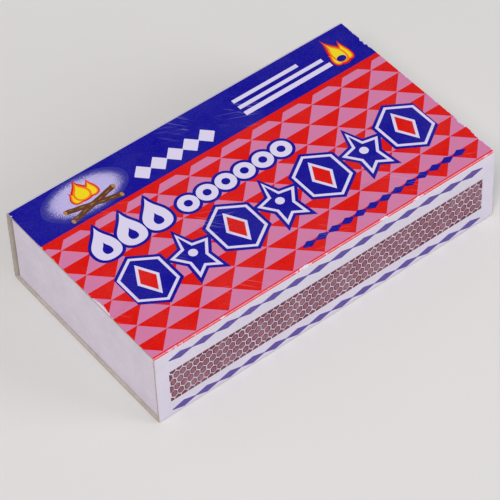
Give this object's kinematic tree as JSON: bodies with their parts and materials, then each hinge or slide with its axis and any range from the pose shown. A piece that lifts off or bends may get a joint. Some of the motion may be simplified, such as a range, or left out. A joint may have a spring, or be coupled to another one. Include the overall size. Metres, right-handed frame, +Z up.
{
  "type": "matchbox",
  "caption": "Kitchen matchbox: a printed card sleeve with a striking strip on each long side, round a card tray of wooden matches that slides out of either end.",
  "frame": {"origin": "middle of the sleeve's underside, on the surface that the box lies on", "axes": "+X along the box, the way the tray slides; +Y towards the long side with the glue lap; +Z up, out of the printed top"},
  "size_m": [0.113, 0.0652, 0.0258],
  "materials": {
    "white_card": "coated white board, matt",
    "grey_card": "uncoated board",
    "striking_coat": "rough maroon coat",
    "blue_ink": "printed, satin",
    "red_ink": "printed, satin",
    "pink_ink": "printed, satin",
    "white_ink": "printed, satin",
    "yellow_ink": "printed, satin",
    "brown_ink": "printed, satin",
    "violet_ink": "printed, satin",
    "wood": "plain aspen splints with red heads"
  },
  "bodies": {
    "sleeve": {"sleeve": "white_card", "print_blue_band": "blue_ink", "print_fire_glow": "white_ink", "print_fire_logs": "brown_ink", "print_fire_flame": "red_ink", "print_fire_heart": "yellow_ink", "print_white_lozenges": "white_ink", "print_match_stick": "white_ink", "print_match_flame": "red_ink", "print_match_heart": "yellow_ink", "print_white_bar_1": "white_ink", "print_white_bar_2": "white_ink", "print_red_field": "red_ink", "print_pink_triangles": "pink_ink", "print_white_beads": "white_ink", "print_edge_string": "blue_ink", "print_tile_row": "blue_ink", "print_tile_line_1": "white_ink", "print_tile_line_2": "white_ink", "print_tile_line_3": "white_ink", "print_tile_line_4": "white_ink", "print_tile_line_5": "white_ink", "print_tile_line_6": "white_ink", "print_tile_line_7": "white_ink", "print_white_flame_1": "white_ink", "print_white_flame_2": "white_ink", "print_white_flame_3": "white_ink", "striker_front": "striking_coat", "print_front_upper": "violet_ink", "print_front_lower": "violet_ink", "striker_back": "striking_coat", "print_back_upper": "violet_ink", "print_back_lower": "violet_ink"},
    "tray": {"tray": "grey_card", "match_row_1": "wood", "match_row_2": "wood", "match_row_3": "wood", "match_row_4": "wood", "match_row_5": "wood", "match_row_6": "wood", "match_01": "wood", "match_02": "wood", "match_03": "wood", "match_04": "wood", "match_05": "wood", "match_06": "wood", "match_07": "wood", "match_08": "wood", "match_09": "wood", "match_10": "wood", "match_11": "wood", "match_12": "wood", "match_13": "wood", "match_14": "wood", "match_15": "wood", "match_16": "wood"}
  },
  "joints": [
    {"name": "tray_slide", "type": "slide", "parent": "sleeve", "child": "tray", "axis": [1, 0, 0], "range_m": [-0.085, 0.085]}
  ]
}
